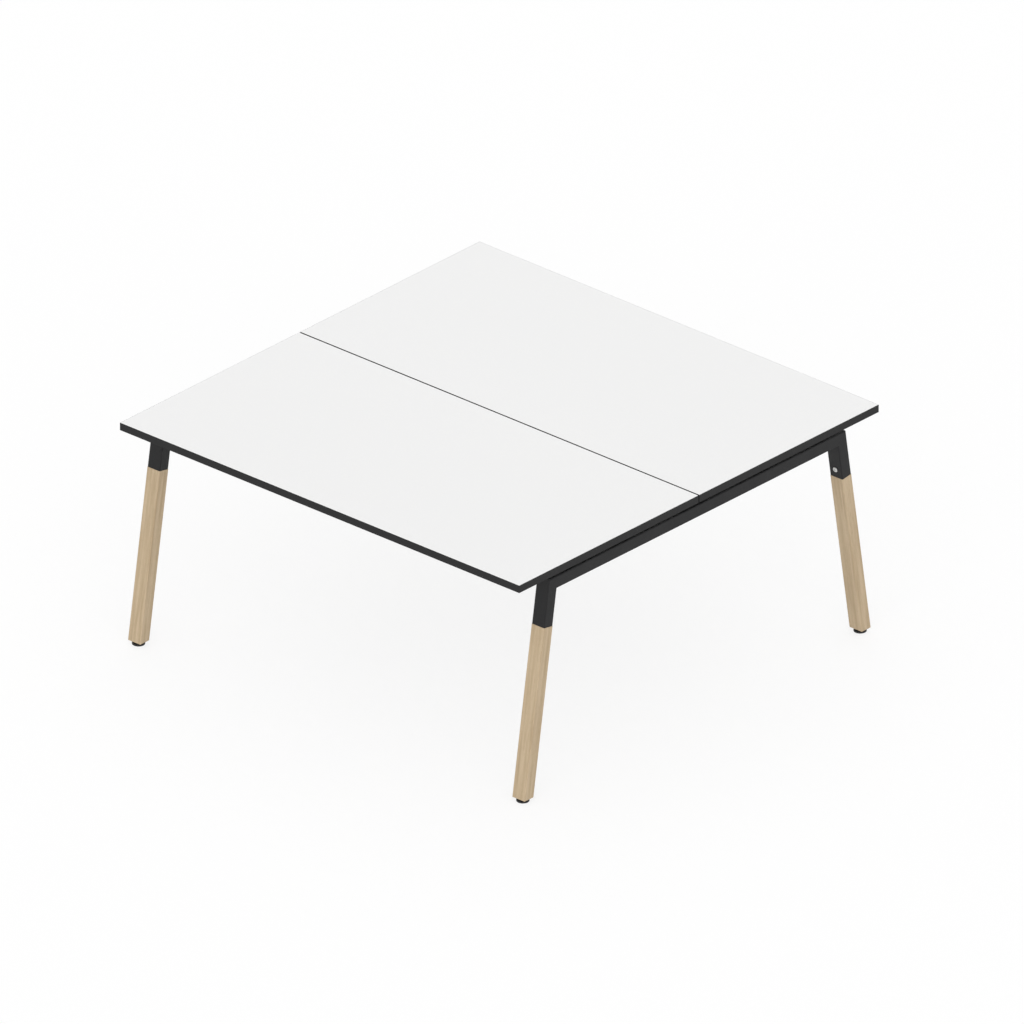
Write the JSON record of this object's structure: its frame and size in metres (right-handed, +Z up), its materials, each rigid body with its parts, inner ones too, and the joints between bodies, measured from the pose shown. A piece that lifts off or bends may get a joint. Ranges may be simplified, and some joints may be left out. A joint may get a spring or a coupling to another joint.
{
  "type": "benching desk for two",
  "caption": "Face-to-face bench desk: white boards with black edging on welded black steel end frames, with splayed oak legs in sockets and screw-in levelling feet.",
  "frame": {"origin": "on the floor under the middle of the desk, feet screwed fully in", "axes": "+X along the seam between the boards towards the right end, +Y across it towards the rear user, +Z up"},
  "size_m": [1.6, 1.6, 0.747],
  "materials": {
    "white_laminate": "chipboard faced with satin white melamine",
    "black_edging": "fine-grained black edging",
    "black_coat": "fine-textured matt black powder coat on steel tube",
    "oak": "pale matt-lacquered oak",
    "zinc_steel": "bright zinc-plated steel",
    "black_plastic": "moulded black plastic"
  },
  "bodies": {
    "desk_frame": {"desktop_front": "white_laminate", "desktop_rear": "white_laminate", "edge_band_front_outer": "black_edging", "edge_band_front_seam": "black_edging", "edge_band_front_left": "black_edging", "edge_band_front_right": "black_edging", "edge_band_rear_outer": "black_edging", "edge_band_rear_seam": "black_edging", "edge_band_rear_left": "black_edging", "edge_band_rear_right": "black_edging", "end_rail_left": "black_coat", "end_rail_right": "black_coat", "leg_socket_front_left": "black_coat", "leg_socket_front_right": "black_coat", "leg_socket_rear_left": "black_coat", "leg_socket_rear_right": "black_coat", "cross_beam_front": "black_coat", "cross_beam_rear": "black_coat", "wood_leg_front_left": "oak", "wood_leg_front_right": "oak", "wood_leg_rear_left": "oak", "wood_leg_rear_right": "oak", "leg_bolt_front_left": "zinc_steel", "leg_bolt_front_right": "zinc_steel", "leg_bolt_rear_left": "zinc_steel", "leg_bolt_rear_right": "zinc_steel", "leg_nut_front_left": "zinc_steel", "leg_nut_front_right": "zinc_steel", "leg_nut_rear_left": "zinc_steel", "leg_nut_rear_right": "zinc_steel", "beam_bolt_front_left": "zinc_steel", "beam_bolt_front_right": "zinc_steel", "beam_bolt_rear_left": "zinc_steel", "beam_bolt_rear_right": "zinc_steel", "foot_bush_front_left": "zinc_steel", "foot_bush_front_right": "zinc_steel", "foot_bush_rear_left": "zinc_steel", "foot_bush_rear_right": "zinc_steel", "top_spacer_left_front": "black_plastic", "top_spacer_left_seam": "black_plastic", "top_spacer_left_rear": "black_plastic", "top_spacer_right_front": "black_plastic", "top_spacer_right_seam": "black_plastic", "top_spacer_right_rear": "black_plastic", "top_screw_front_left_outer": "zinc_steel", "top_screw_front_left_inner": "zinc_steel", "top_screw_front_right_outer": "zinc_steel", "top_screw_front_right_inner": "zinc_steel", "top_screw_rear_left_outer": "zinc_steel", "top_screw_rear_left_inner": "zinc_steel", "top_screw_rear_right_outer": "zinc_steel", "top_screw_rear_right_inner": "zinc_steel"},
    "pad_front_left": {"foot_pad_front_left": "black_plastic"},
    "screw_front_left": {"foot_screw_front_left": "zinc_steel"},
    "pad_front_right": {"foot_pad_front_right": "black_plastic"},
    "screw_front_right": {"foot_screw_front_right": "zinc_steel"},
    "pad_rear_left": {"foot_pad_rear_left": "black_plastic"},
    "screw_rear_left": {"foot_screw_rear_left": "zinc_steel"},
    "pad_rear_right": {"foot_pad_rear_right": "black_plastic"},
    "screw_rear_right": {"foot_screw_rear_right": "zinc_steel"}
  },
  "joints": [
    {"name": "foot_travel_front_left", "type": "slide", "parent": "desk_frame", "child": "pad_front_left", "axis": [0, 0, -1], "range_m": [0, 0.012]},
    {"name": "foot_turn_front_left", "type": "hinge", "parent": "pad_front_left", "child": "screw_front_left", "pos_m": [-0.77, -0.75046, 0.01], "axis": [0, 0, -1], "range_deg": [0, 2880]},
    {"name": "foot_travel_front_right", "type": "slide", "parent": "desk_frame", "child": "pad_front_right", "axis": [0, 0, -1], "range_m": [0, 0.012]},
    {"name": "foot_turn_front_right", "type": "hinge", "parent": "pad_front_right", "child": "screw_front_right", "pos_m": [0.77, -0.75046, 0.01], "axis": [0, 0, -1], "range_deg": [0, 2880]},
    {"name": "foot_travel_rear_left", "type": "slide", "parent": "desk_frame", "child": "pad_rear_left", "axis": [0, 0, -1], "range_m": [0, 0.012]},
    {"name": "foot_turn_rear_left", "type": "hinge", "parent": "pad_rear_left", "child": "screw_rear_left", "pos_m": [-0.77, 0.75046, 0.01], "axis": [0, 0, -1], "range_deg": [0, 2880]},
    {"name": "foot_travel_rear_right", "type": "slide", "parent": "desk_frame", "child": "pad_rear_right", "axis": [0, 0, -1], "range_m": [0, 0.012]},
    {"name": "foot_turn_rear_right", "type": "hinge", "parent": "pad_rear_right", "child": "screw_rear_right", "pos_m": [0.77, 0.75046, 0.01], "axis": [0, 0, -1], "range_deg": [0, 2880]}
  ],
  "couplings": [
    {"joint": "foot_turn_front_left", "follows": "foot_travel_front_left", "rad_per_m": 4188.8},
    {"joint": "foot_turn_front_right", "follows": "foot_travel_front_right", "rad_per_m": 4188.8},
    {"joint": "foot_turn_rear_left", "follows": "foot_travel_rear_left", "rad_per_m": 4188.8},
    {"joint": "foot_turn_rear_right", "follows": "foot_travel_rear_right", "rad_per_m": 4188.8}
  ]
}
